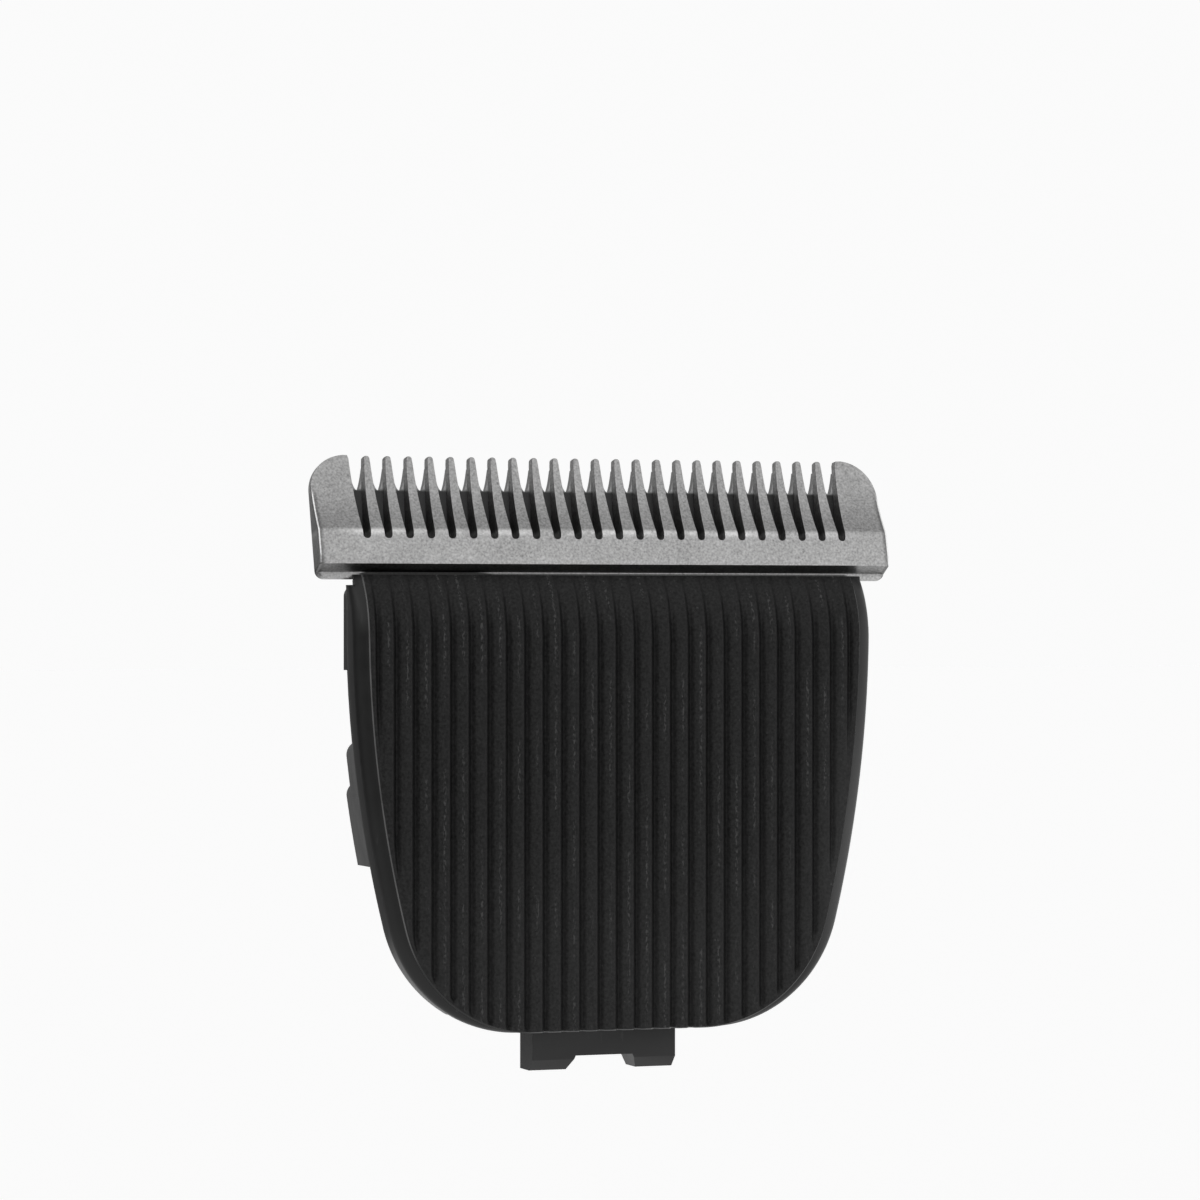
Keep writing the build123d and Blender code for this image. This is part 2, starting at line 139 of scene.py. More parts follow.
# the same, with the coordinates that its patterns read
def newFinish(name, fixed):
    finish, shader = plainFinish(name, fixed)
    return finish, Flow(finish.node_tree).node("ShaderNodeTexCoord", output="Object"), shader


def feed(flow, shader, socket):
    flow.tree.links.new(flow.socket, shader.inputs[socket])


# bump from a height between 0 and 1, with its depth in mm
def feedBump(height, shader, strength, depth):
    bump = {"Strength": strength, "Distance": depth * mm, "Height": height}
    feed(height.node("ShaderNodeBump", {}, bump), shader, "Normal")


# Shared by comb, cutter and their finishes: u runs up the leaning rear face of the comb, n stands out of it
blade = {"seatY": -3.67, "seatZ": 31.55, "lean": 15.0,        # where u and n are 0, and the lean in degrees
         "halfWidth": boxOf("fixed_blade")[1][0], "kink": 2.1, "reach": 8.05, "pitch": 1.6, "slots": 24}


# Finishes

# distance u up the leaning blade
def upBlade(place):
    lean = radians(blade["lean"])
    return (place.axis(1) - blade["seatY"]) * sin(lean) + (place.axis(2) - blade["seatZ"]) * cos(lean)


# tones, then how strong each mark is; a pair of numbers says where a change begins and ends, in mm
combSteelLook = {"band": 0.40, "kink": 0.25, "tip": 0.36, "rough": 0.38,
                 "grain": 0.72, "mottle": 0.34, "streaks": 0.1, "pits": 0.35,
                 "groundFrom": (-0.05, 0.25), "riseFrom": (0.0, 3.95),
                 "strip": 0.22, "kinkHighlightFrom": (-0.5, -0.1),
                 "shelf": 0.3, "shelfFrom": (-0.06, 0.02), "shelfTo": (-0.04, 0.0),
                 "lipDarkAndShade": 0.9, "darkSpanFrom": (-18.9, -18.3), "darkSpanTo": (-10.2, -8.6), "lipTo": (0.02, 0.1),
                 "under": 0.84, "shadeUnderFrom": (-0.11, -0.05), "shadeUnderTo": (18.7, 19.2),
                 "paintedHighlight": 0.5, "rimFrom": (0.015, 0.05), "rimTo": (0.1, 0.17),
                 "beside": 0.42, "besideTo": (0.22, 0.5), "endsFrom": (-0.4, -0.2), "endsTo": (4.6, 5.6)}


# a darker span on the lip's front, and painted shade below it as far as the cover goes, where the cover's
# edge would hide it
def combLipDarkAndShade(fromShelf, sideways):
    look = combSteelLook
    darkSpan = sideways.step(*look["darkSpanFrom"]) * (1 - sideways.step(*look["darkSpanTo"]))
    lip = 1 - fromShelf.step(*look["lipTo"])
    # painted shade under the lip, across the cover's width
    under = (1 - fromShelf.step(*look["shadeUnderFrom"])) * (1 - abs(sideways).step(*look["shadeUnderTo"]))
    return (darkSpan * lip + look["under"] * under).clamp()


# both ends: 1 on the rolled edge, which gets a painted highlight, and 1 on the strip beside it, which gets
# painted shade
def combEnds(along, sideways):
    look = combSteelLook
    inset = blade["halfWidth"] - abs(sideways)
    low = 1 - along.step(*look["endsTo"])
    rim = inset.step(*look["rimFrom"]) * (1 - inset.step(*look["rimTo"]))
    rim = rim * low * along.step(*look["endsFrom"])
    return rim, (1 - inset.step(*look["besideTo"])) * low * (1 - rim)


def combSteel():
    look = combSteelLook
    finish, place, shader = newFinish("combSteel", {"Metallic": 1.0})
    along, sideways = upBlade(place), place.axis(0)
    fromKink, fromShelf, fromBand = along - blade["kink"], along + comb["shelfDrop"], along + comb["bandDrop"]
    grain = place.noise(6000, 3)
    mottle = place.noise(420, 4, stretch=(0.6, 1, 1))
    streaks = place.noise(900, 3, stretch=(0.08, 1, 1))       # grinding marks along the blade
    pits = place.noise(2600, 2).step(0.68, 0.78)
    ground = fromKink.step(*look["groundFrom"])               # 1 on the hollow-ground part
    rise = fromKink.step(*look["riseFrom"])                   # 0 at the kink, 1 towards the tips, for the painted shade over the hollow
    # painted highlight along the rounded kink, in patches
    strip = fromKink.step(*look["kinkHighlightFrom"]) * (1 - ground) * mottle.step(0.36, 0.6)
    # painted shade on the shelf, which faces down
    shelf = fromShelf.step(*look["shelfFrom"]) * (1 - fromBand.step(*look["shelfTo"]))
    rim, beside = combEnds(along, sideways)
    # painted shade over the hollow-ground part: darkest at the kink, lightening towards the tips
    tone = look["band"] + ground * (look["kink"] - look["band"] + rise * (look["tip"] - look["kink"]))
    marks = look["grain"] * (grain - 0.5) * 2 + look["mottle"] * (mottle - 0.5)
    tone = tone * (1 + marks + look["streaks"] * (streaks - 0.5))
    tone = tone + look["strip"] * strip + look["paintedHighlight"] * rim
    tone = tone * (1 - look["pits"] * pits) * (1 - look["shelf"] * shelf)
    tone = tone * (1 - look["lipDarkAndShade"] * combLipDarkAndShade(fromShelf, sideways)) * (1 - look["beside"] * beside)
    feed(tone.clamp().shade(warmth=0.004), shader, "Base Color")
    feed(look["rough"] + 0.2 * (grain - 0.5) + 0.12 * (mottle - 0.5), shader, "Roughness")
    feedBump(grain + 0.5 * streaks, shader, strength=0.3, depth=0.03)
    return finish


cutterSteelLook = {"bodyTone": 0.045, "teeth": 0.28, "teethFrom": (5.45, 5.75),
                   "foot": 0.22, "footTo": (1.5, 3.0), "rough": 0.42}


def cutterSteel():
    look = cutterSteelLook
    finish, place, shader = newFinish("cutterSteel", {"Metallic": 1.0})
    grain = place.noise(6000, 3)
    streaks = place.noise(1100, 3, stretch=(0.06, 1, 1))
    along = upBlade(place)
    # painted light: the teeth above the gaps' bottoms and the lower end are lighter than the dark body
    paintedLight = along.step(*look["teethFrom"]) * look["teeth"] + (1 - along.step(*look["footTo"])) * look["foot"]
    tone = (look["bodyTone"] + paintedLight) * (1 + 0.4 * (grain - 0.5) + 0.3 * (streaks - 0.5))
    feed(tone.shade(), shader, "Base Color")
    feed(look["rough"] + 0.14 * (streaks - 0.5), shader, "Roughness")
    feedBump(grain + streaks, shader, strength=0.2, depth=0.02)
    return finish


paintedSheenLook = {"across": (14.0, 19.5), "up": (8.0, 26.0)}


# painted sheen: 0 over most of the cover, 1 low down on its right
def paintedSheenSide(place):
    return place.axis(0).step(*paintedSheenLook["across"]) * (1 - place.axis(2).step(*paintedSheenLook["up"]))


ribPlasticLook = {"tone": 0.0098, "scuff": 0.046, "crest": (0.03, 0.11),
                  "lowerLift": 0.006, "lowerLiftTo": (1.0, 15.0), "paintedSheen": 0.026, "rough": 0.56}


def ribPlastic():
    look = ribPlasticLook
    finish, place, shader = newFinish("ribPlastic", {"Specular IOR Level": 0.2})
    off = abs((place.axis(0) / cover["ribPitch"]).fraction() - 0.5)       # 0 on the crest, 0.5 in the groove
    crest = 1 - off.step(*look["crest"])
    fine = place.noise(7000, 2, stretch=(1, 1, 0.45))
    grain = place.noise(5200, 3)
    cloud = place.noise(900, 3)
    patchy = place.noise(330, 3, stretch=(1, 1, 0.6))
    specks = fine.step(0.47, 0.63) * crest * patchy.step(0.44, 0.60)      # rubbed lines along the crests
    stray = place.noise(4200, 2, stretch=(1, 1, 0.7)).step(0.72, 0.78) * 0.6
    worn = (specks + stray).clamp()
    # lighter towards the bottom
    low = 1 - place.axis(2).step(*look["lowerLiftTo"])
    tone = look["tone"] * (0.4 * cloud + 4.0 * grain - 1.2) + look["lowerLift"] * low
    # painted sheen low down on the right
    tone = tone + look["paintedSheen"] * paintedSheenSide(place)
    feed((worn * look["scuff"] + tone).clamp().shade(), shader, "Base Color")
    feed(look["rough"] + 0.18 * (cloud - 0.5) - 0.1 * worn, shader, "Roughness")
    feedBump(grain + 0.7 * fine, shader, strength=0.35, depth=0.02)
    return finish


borderPlasticLook = {"tone": 0.008, "scratch": 0.02, "paintedSheen": 0.056, "rough": 0.36}


def borderPlastic():
    look = borderPlasticLook
    finish, place, shader = newFinish("borderPlastic", {"Specular IOR Level": 0.34})
    cloud = place.noise(700, 3)
    scratch = place.noise(2400, 2, stretch=(1, 1, 0.12)).step(0.66, 0.8)
    # painted sheen low down on the right
    tone = look["tone"] * (0.85 + 0.3 * cloud) + look["scratch"] * scratch + look["paintedSheen"] * paintedSheenSide(place)
    feed(tone.shade(), shader, "Base Color")
    feed(look["rough"] + 0.14 * (cloud - 0.5) + 0.15 * scratch, shader, "Roughness")
    feedBump(cloud, shader, strength=0.08, depth=0.02)
    return finish


creasePlasticLook = {"tone": 0.01, "paintedHighlight": 0.085, "side": (2.5, 5.0), "foot": (-7.6, -6.2),
                     "paintedLight": (8.0, 13.0), "rough": 0.3}


# edge of the ribbed panel, with a painted highlight up its left side and along the foot, and none on the
# corner between
def creasePlastic():
    look = creasePlasticLook
    finish, place, shader = newFinish("creasePlastic", {"Specular IOR Level": 0.4})
    broken = place.noise(700, 3)
    sideways = place.axis(0)
    # painted highlight: on the left side and along the foot, fading out towards the right
    highlightSide = (place.axis(2).step(*look["side"]) + sideways.step(*look["foot"])).clamp()
    rubbed = highlightSide * (1 - sideways.step(*look["paintedLight"]))
    tone = look["tone"] + look["paintedHighlight"] * rubbed * (0.5 + broken)
    feed(tone.shade(), shader, "Base Color")
    feed(look["rough"] + 0.2 * (broken - 0.5), shader, "Roughness")
    return finish


framePlasticLook = {"tone": 0.013, "rubbed": 0.018, "sides": (16.8, 17.6), "sideLift": 0.004, "lowSideLift": 0.065,
                    "lugs": (18.2, 20.5), "rough": 0.46}


def framePlastic():
    look = framePlasticLook
    finish, place, shader = newFinish("framePlastic", {"Specular IOR Level": 0.42})
    cloud = place.noise(500, 3)
    spark = place.noise(9000, 1)                              # fine eroded texture of the mould
    rubbed = place.noise(1500, 3, stretch=(1, 1, 0.3)).step(0.66, 0.8)
    streaks = place.noise(1600, 3, stretch=(1, 1, 0.2))
    side = abs(place.axis(0)).step(*look["sides"])            # lighter on both sides, most of all low down
    low = 1 - place.axis(2).step(*look["lugs"])
    tone = look["tone"] * (0.8 + 0.4 * cloud) + look["rubbed"] * rubbed
    tone = tone + side * (look["sideLift"] + look["lowSideLift"] * low) * (0.55 + 0.9 * streaks)
    feed(tone.shade(), shader, "Base Color")
    feed(look["rough"] + 0.16 * (cloud - 0.5) + 0.08 * (spark - 0.5), shader, "Roughness")
    feedBump(spark, shader, strength=0.2, depth=0.01)
    return finish


driverPlasticLook = {"tone": 0.62, "grease": 0.16, "rough": 0.38}


def driverPlastic():
    look = driverPlasticLook
    finish, place, shader = newFinish("driverPlastic", {})
    cloud = place.noise(240, 3)
    grease = place.noise(420, 4).step(0.58, 0.74)
    tone = look["tone"] * (0.94 + 0.12 * cloud) - look["grease"] * grease
    feed(tone.shade(warmth=0.03), shader, "Base Color")
    feed(look["rough"] - 0.12 * grease + 0.1 * (cloud - 0.5), shader, "Roughness")
    feedBump(place.noise(6000, 2), shader, strength=0.1, depth=0.01)
    return finish


springSteelLook = {"tone": 0.42, "rough": 0.3}


def springSteel():
    look = springSteelLook
    finish, place, shader = newFinish("springSteel", {"Metallic": 1.0})
    rolled = place.noise(1400, 3, stretch=(1, 1, 0.05))       # rolling marks up the strip
    cloud = place.noise(300, 3)
    tone = look["tone"] * (0.86 + 0.2 * rolled + 0.1 * cloud)
    feed(tone.shade(warmth=0.01), shader, "Base Color")
    feed(look["rough"] + 0.2 * (rolled - 0.5), shader, "Roughness")
    feedBump(rolled, shader, strength=0.15, depth=0.02)
    return finish


screwSteelLook = {"tone": 0.5, "rough": 0.28}


def screwSteel():
    look = screwSteelLook
    finish, place, shader = newFinish("screwSteel", {"Metallic": 1.0})
    cloud = place.noise(1200, 3)
    tone = look["tone"] * (0.85 + 0.3 * cloud)
    feed(tone.shade(warmth=0.006), shader, "Base Color")
    feed(look["rough"] + 0.2 * (cloud - 0.5), shader, "Roughness")
    feedBump(place.noise(5000, 2), shader, strength=0.1, depth=0.01)
    return finish


# Surfaces

def addObject(name, data):
    made = bpy.data.objects.new(name, data)
    bpy.context.scene.collection.objects.link(made)
    return made


# a piece rides on its body and stands for its CAD node
def addPiece(name, mesh, body, node):
    piece = addObject(name, mesh)
    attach(piece, body)
    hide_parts(node)
    print("piece:", name, len(mesh.polygons), "faces")
    return piece


# a grid of points, rows by columns, becomes quads between neighbours
def quadIndex(rows, cols, start):
    row, col = np.meshgrid(np.arange(rows - 1), np.arange(cols - 1), indexing="ij")
    corner = start + row * cols + col
    return np.stack([corner, corner + 1, corner + cols + 1, corner + cols], -1).reshape(-1, 4)


meshRules = {"merge": 0.0005, "sliver": 0.00001, "cadMerge": 0.002,       # mm
             "cadFlat": 1.0, "cadSharp": 32.0, "bevelFrom": 40.0}         # degrees


# makes one mesh of several grids (in mm), each with the number of its finish among the looks; edges that turn
# by more than sharp degrees stay crisp
def makePiece(name, grids, looks, body, node, sharp=40):
    points, quads, marks, start = [], [], [], 0
    for grid, mark in grids:
        rows, cols = grid.shape[:2]
        points.append(grid.reshape(-1, 3))
        quads.append(quadIndex(rows, cols, start))
        marks.append(np.full(len(quads[-1]), mark, np.int32))
        start += rows * cols
    mesh = bpy.data.meshes.new(name)
    mesh.from_pydata((np.concatenate(points) * mm).tolist(), [], np.concatenate(quads).tolist())
    for look in looks:
        mesh.materials.append(finishes[look])
    mesh.polygons.foreach_set("material_index", np.concatenate(marks))
    shell = bmesh.new()
    shell.from_mesh(mesh)
    bmesh.ops.remove_doubles(shell, verts=shell.verts, dist=meshRules["merge"] * mm)
    bmesh.ops.dissolve_degenerate(shell, edges=shell.edges, dist=meshRules["sliver"] * mm)
    bmesh.ops.recalc_face_normals(shell, faces=shell.faces)
    shell.to_mesh(mesh)
    shell.free()
    mesh.shade_smooth()
    mesh.set_sharp_from_angle(angle=radians(sharp))
    return addPiece(name, mesh, body, node)


def mirrored(grid):
    return grid * np.array([-1.0, 1.0, 1.0])


# Ribbed cover

coverLow, coverHigh = boxOf("front_cover")
cover = {"halfWidth": coverHigh[0], "foot": coverLow[2], "top": coverHigh[2],
         "crest": coverLow[1], "rear": coverHigh[1],          # depth of the rib crests and of the rear rim
         # outline: where the side starts to sweep in, by how many degrees, the corner, and rows per stretch
         "shoulder": 27.55, "sideSweep": 14.0, "cornerRadius": 10.0, "pathSteps": (4, 9, 40, 48, 12),
         "jump": 0.005,
         # border: width and columns, the ellipse of its edge, its step below the ribs and the crease there
         "border": 1.0, "borderSteps": 14, "borderBunch": 1.6, "edgeRound": 0.8, "edgeTilt": 0.3,
         "step": 0.08, "creaseBevel": 0.08, "creaseSkirt": 0.25, "steepest": 12.0,
         # brow: where the front starts to curve back, its radius and wall, and the grooves' fade above it
         "browZ": 26.05, "browRadius": 6.8, "browWall": 0.25, "browFade": 4.0, "browGroove": 0.3,
         # ribs: columns and rows, the groove's cosine and the crown, and the grooves' fade at the crease
         "ribPitch": 1.4, "ribSteps": (0, 0.05, 0.1, 0.15, 0.2, 0.26, 0.32, 0.38, 0.46, 0.58),
         "edgeSteps": 46, "edgeSpan": 2.6, "footRise": 0.12, "riseSteps": (14, 22, 30),
         "grooveDepth": 0.36, "grooveReach": 0.48, "grooveBowl": 1.5, "crown": 0.03,
         "ribStart": 0.1, "ribFade": 0.55,
         # walls: the notch above the ear, the inner face, the rear rim and its round, the opening at the foot
         "earTop": 30.05, "earNotch": 0.45, "wall": 1.3, "leastWall": 0.03,
         "inner": -5.7, "innerSteps": 90, "innerInset": 0.01, "rimSoft": 0.05, "rimDepth": 0.1,
         "rearRound": (0.8, 0.22), "rearSteps": 7, "rearShare": 0.6, "gapHalf": 12.6,
         "lipRoom": 30.4, "slopeY": -4.451}                   # cut back above lipRoom, and how far at the top


# the shield's two arcs: radius of the long one, the x and z where it ends, and the middle of the round corner
def shieldArcs(halfWidth, foot, radius):
    sweep = radians(cover["sideSweep"])
    long = (cover["shoulder"] - foot - radius * (1 - sin(sweep))) / sin(sweep)
    end = (halfWidth - long * (1 - cos(sweep)), cover["shoulder"] - long * sin(sweep))
    return long, end, (end[0] - radius * cos(sweep), end[1] + radius * sin(sweep))


# right half of the shield outline, from the top to the middle of the foot: a straight, a long arc through the
# side's sweep, a round corner through the rest of the quarter turn and a straight; x, z and the normal
def shieldPath(halfWidth, foot, radius, earNotch):
    long, _, middle = shieldArcs(halfWidth, foot, radius)
    room, ear, shoulder, jump = cover["lipRoom"], cover["earTop"], cover["shoulder"], cover["jump"]
    lipSteps, earSteps, sideSteps, cornerSteps, baseSteps = cover["pathSteps"]
    straight = np.concatenate([np.linspace(cover["top"], room + jump, lipSteps), [room - jump, ear + jump],
                               np.linspace(ear - jump, shoulder, earSteps)])  # two rows at each jump
    sweep = radians(cover["sideSweep"])
    sideTurn = np.linspace(0, sweep, sideSteps)[1:]
    cornerTurn = np.linspace(sweep, pi / 2, cornerSteps)[1:]
    bottom = np.linspace(middle[0], 0, baseSteps)[1:]
    x = np.concatenate([np.where(straight > ear, halfWidth - earNotch, halfWidth),
                        halfWidth - long + long * np.cos(sideTurn),
                        middle[0] + radius * np.cos(cornerTurn), bottom])
    z = np.concatenate([straight, shoulder - long * np.sin(sideTurn),
                        middle[1] - radius * np.sin(cornerTurn), np.full_like(bottom, foot)])
    turn = np.concatenate([np.zeros_like(straight), sideTurn, cornerTurn, np.full_like(bottom, pi / 2)])
    return x, z, np.cos(turn), -np.sin(turn)


# lowest z of that outline at each x
def shieldFoot(x, halfWidth, foot, radius):
    long, end, middle = shieldArcs(halfWidth, foot, radius)
    away = np.abs(x)
    corner = middle[1] - np.sqrt(np.maximum(radius ** 2 - (away - middle[0]) ** 2, 0))
    side = cover["shoulder"] - np.sqrt(np.maximum(long ** 2 - (away - halfWidth + long) ** 2, 0))
    return np.where(away <= middle[0], foot, np.where(away <= end[0], corner, side))


# half width of that outline at each z
def shieldHalf(z, halfWidth, foot, radius):
    long, end, middle = shieldArcs(halfWidth, foot, radius)
    side = halfWidth - long + np.sqrt(long ** 2 - np.clip(cover["shoulder"] - z, 0, long) ** 2)
    corner = middle[0] + np.sqrt(np.maximum(radius ** 2 - np.clip(middle[1] - z, 0, None) ** 2, 0))
    return np.where(z >= end[1], side, corner)


# depth of the front at height z: upright, then a circle that curves back over the brow; sunk moves it inwards
def frontY(z, sunk):
    over = np.maximum(z - cover["browZ"], 0)
    return cover["crest"] + cover["browRadius"] - np.sqrt((cover["browRadius"] - sunk) ** 2 - over ** 2)


# how far the ribs' surface is sunk at each x: a cosine groove each pitch and a slight crown between
def ribSunk(x):
    pitch = cover["ribPitch"]
    off = np.abs((x + pitch / 2) % pitch - pitch / 2)                     # distance from the nearest groove
    wave = 0.5 * (1 + np.cos(pi * np.minimum(off / cover["grooveReach"], 1)))
    groove = cover["grooveDepth"] * wave ** cover["grooveBowl"]
    return groove + cover["crown"] * (1 - np.sin(pi / 2 * np.minimum(off / (pitch / 2), 1)))


# columns across the ribs, close together in each groove and near the edges, where the outline runs steep
def ribColumns(halfPanel):
    near = np.array(cover["ribSteps"]) / cover["ribPitch"]
    phase = np.concatenate([near, [0.5], 1 - near[:0:-1]])
    count = int(halfPanel / cover["ribPitch"]) + 2
    x = (np.arange(-count, count)[:, None] + phase).ravel() * cover["ribPitch"]
    edge = halfPanel - np.linspace(0, 1, cover["edgeSteps"]) ** 2 * cover["edgeSpan"]
    return np.unique(np.round(np.concatenate([x[np.abs(x) < halfPanel], edge, -edge]), 5))


# the ribbed front: each column runs from the outline up to the brow and over it, sunk by its groove
def ribbedPanel():
    bevel, top, start = cover["creaseBevel"], cover["top"], cover["footRise"]
    footSteps, ribSteps, browSteps = cover["riseSteps"]
    halfPanel = cover["halfWidth"] - cover["border"] - bevel
    outline = (halfPanel, cover["foot"] + bevel, cover["cornerRadius"] - bevel)
    x = ribColumns(halfPanel)
    low = shieldFoot(x, *outline)
    knee = np.maximum(low, cover["browZ"])
    rise = np.concatenate([np.linspace(0, start, footSteps)[:-1], np.linspace(start, 1, ribSteps)])[:, None]
    bend = np.linspace(0, 1, browSteps)[1:, None]
    z = np.concatenate([low + rise * (knee - low), knee + bend * (top - knee)])
    inset = shieldHalf(z, *outline) - np.abs(x)
    fade = np.clip((inset - cover["ribStart"]) / cover["ribFade"], 0, 1)  # grooves run out at the crease
    under = np.clip((top - z) / cover["browFade"], 0, 1)                  # and are shallower under the blade
    depth = cover["browGroove"] + (1 - cover["browGroove"]) * under
    sunk = ribSunk(x) * fade ** 2 * (3 - 2 * fade) * depth
    return np.stack([np.broadcast_to(x, z.shape), frontY(z, sunk), z], -1)


# bevelled edge of the panel, with a skirt behind it: a strip along the outline, then one up each shoulder
def creaseStrips(panel):
    bevel = cover["creaseBevel"]
    x, low = panel[0, :, 0], panel[0, :, 2]
    slope = np.clip(np.gradient(low, x), -cover["steepest"], cover["steepest"])
    steep = np.hypot(slope, 1)
    facet = panel[0] + np.stack([slope / steep, np.ones_like(x), -1 / steep], -1) * bevel
    deep = facet.copy()
    deep[:, 1] = cover["inner"] - cover["rimSoft"]
    strips = [np.stack([deep, facet, panel[0]])]
    for edge, out in ((panel[:, 0], -1), (panel[:, -1], 1)):
        facet = edge + np.array([out * bevel, bevel, 0])
        strips.append(np.stack([edge, facet, facet + np.array([0, cover["creaseSkirt"], 0])], 1))
    return strips


# front of the border from the crease out to the edge, at each point of the outline: part of an ellipse, with
# the crease a little way down it
def borderFront(x, z, normalX, notch, rear):
    across = np.linspace(1, 0, cover["borderSteps"]) ** cover["borderBunch"]  # closer together at the edge
    inward = across * (cover["border"] - notch[:, None])
    tilt = cover["edgeTilt"]                                  # where on the ellipse the crease lies
    lie = 1 - (1 - tilt) * (inward + notch[:, None]) * normalX[:, None] / cover["border"]
    drop = cover["edgeRound"] * (1 - np.sqrt(np.maximum(1 - lie ** 2, 0) / (1 - tilt ** 2)))
    front = np.minimum(frontY(z, cover["step"])[:, None] + drop, rear[:, None] - cover["leastWall"])
    return np.stack([x[:, None] - inward, front, np.broadcast_to(z[:, None], front.shape)], -1)


# border and wall of the right side, one section carried down the outline: from the crease out over the
# rounded edge, back along the wall, in over the rear rim and forward again inside; in the middle of the
# foot the wall is open
def borderSide(earNotch):
    outline = (cover["halfWidth"], cover["foot"], cover["cornerRadius"])
    x, z, normalX, normalZ = shieldPath(*outline, earNotch)
    slope = cover["slopeY"] - (cover["top"] - z) * tan(radians(blade["lean"]))
    rear = np.where(z > cover["lipRoom"], slope, cover["rear"])  # cut back at the top for the comb's lip
    notch = np.where(z > cover["earTop"], earNotch, 0)
    front = borderFront(x, z, normalX, notch, rear)
    edgeY = front[:, -1, 1]

    def ring(depth, inset):
        points = [x - inset * normalX, np.broadcast_to(depth, x.shape), z - inset * normalZ]
        return np.stack(points, -1)[:, None]

    rim, soft = cover["wall"] - notch, cover["rimSoft"]
    inner = np.minimum(cover["inner"], rear - cover["rimDepth"])
    inner = np.maximum(inner, frontY(z, cover["browWall"]))
    back, into = cover["rearRound"]
    back = np.minimum(back, cover["rearShare"] * (rear - edgeY))
    turns = np.linspace(0, pi / 2, cover["rearSteps"])
    bend = [ring(rear - back * (1 - sin(turn)), into * (1 - cos(turn))) for turn in turns]
    inside = [ring(rear, rim - soft), ring(rear - soft, rim), ring(inner, rim)]
    walled = np.concatenate([front, *bend, *inside], 1)
    opened = np.concatenate([front, ring(np.maximum(cover["inner"], edgeY), 0)], 1)
    stop = int(np.argmin(np.abs(x - cover["gapHalf"])))
    steps = cover["borderSteps"]
    wallEnd = np.stack([walled[stop, [steps - 1, -4]], walled[stop, [-1, -3]]])
    topEnd = np.stack([walled[0, :steps], np.broadcast_to(walled[0, -3], (steps, 3))])
    return walled[:stop + 1], opened[stop:], wallEnd, topEnd


# inner face, then the slope that leaves room for the comb's flange
def insideFace():
    wall, gap, inner = cover["wall"], cover["gapHalf"], cover["inner"]
    edge = cover["halfWidth"] - wall
    reach = edge - cover["innerInset"]
    x = np.unique(np.concatenate([np.linspace(-reach, reach, cover["innerSteps"]), [-gap, gap]]))
    walled = shieldFoot(x, edge, cover["foot"] + wall, cover["cornerRadius"] - wall)
    opened = shieldFoot(x, cover["halfWidth"], cover["foot"], cover["cornerRadius"])
    low = np.where(np.abs(x) < gap, opened, walled)
    bend = cover["top"] - (cover["slopeY"] - inner) / tan(radians(blade["lean"]))
    rows = ((inner, low), (inner, np.maximum(low, bend)), (cover["slopeY"], cover["top"]))
    return np.stack([np.stack(np.broadcast_arrays(x, y, z), -1) for y, z in rows])


def buildCover():
    panel = ribbedPanel()
    topEdge = np.stack([panel[-1], panel[-1]])
    topEdge[1, :, 1] = cover["slopeY"]
    left = [mirrored(grid) for grid in borderSide(cover["earNotch"])]     # only the left side is notched
    grids = [(panel, 0)] + [(strip, 2) for strip in creaseStrips(panel)]
    grids += [(grid, 1) for grid in (*borderSide(0.0), *left, topEdge, insideFace())]
    looks = ["ribs", "border", "crease"]
    return makePiece("ribbedCover", grids, looks, "head", "front_cover", sharp=34)


# Comb

# a drop is the distance below u = 0
comb = {"thick": 1.65, "tip": 0.43, "hollow": 0.36, "kinkRound": 0.08, "bandDrop": 0.4, "shelfDrop": 0.7,
        "flange": 0.46, "flangeDrop": 4.7, "flangeHalf": 18.2, "flangeEdge": 0.02,
        # outline: the round corners of lip and wings, and the rolled edge at both ends
        "lipDrop": 1.139, "lipRound": 0.6, "lipSteps": 9,
        "wingRound": 2.75, "wingSteps": 18, "wingLeast": 0.06, "wingStop": 0.004,
        "endEdge": 0.13, "endSwell": 0.3, "endSwellReach": 0.4, "endShare": 0.45,
        # slots: half widths at the root and the mouth; teeth: rolled edges, flared flanks and round tips
        "slotBottom": 1.48, "root": 0.28, "mouth": 0.58, "relief": 0.14,
        "edge": 0.045, "flare": 0.12, "flareShare": 0.35, "tipRound": 0.2, "tipWidth": 0.45, "tipLeast": 0.02,
        # rows up the blade
        "shelfRows": (-0.04, 0, 0.04), "bandRows": (-0.04, 0, 0.03), "kinkRows": (-0.12, 0.12, 5),
        "toothFoot": 0.06, "footRows": (0.4, 1.1), "bowlSteps": 10, "flankSteps": 18, "tipSteps": 7}
rollSteps = 5                                                 # points round a rolled edge of comb or cutter


# a point of the blade: x, then u up the leaning rear face, then n out of it
def bladePoint(x, u, n):
    lean = radians(blade["lean"])
    y = blade["seatY"] + u * sin(lean) - n * cos(lean)
    return np.stack([x, y, blade["seatZ"] + u * cos(lean) + n * sin(lean)], -1)


# middles of the teeth, and of the outermost slot on the right
def toothPlaces():
    return (np.arange(1, blade["slots"]) - blade["slots"] / 2) * blade["pitch"]


def lastSlot():
    return (blade["slots"] - 1) / 2 * blade["pitch"]


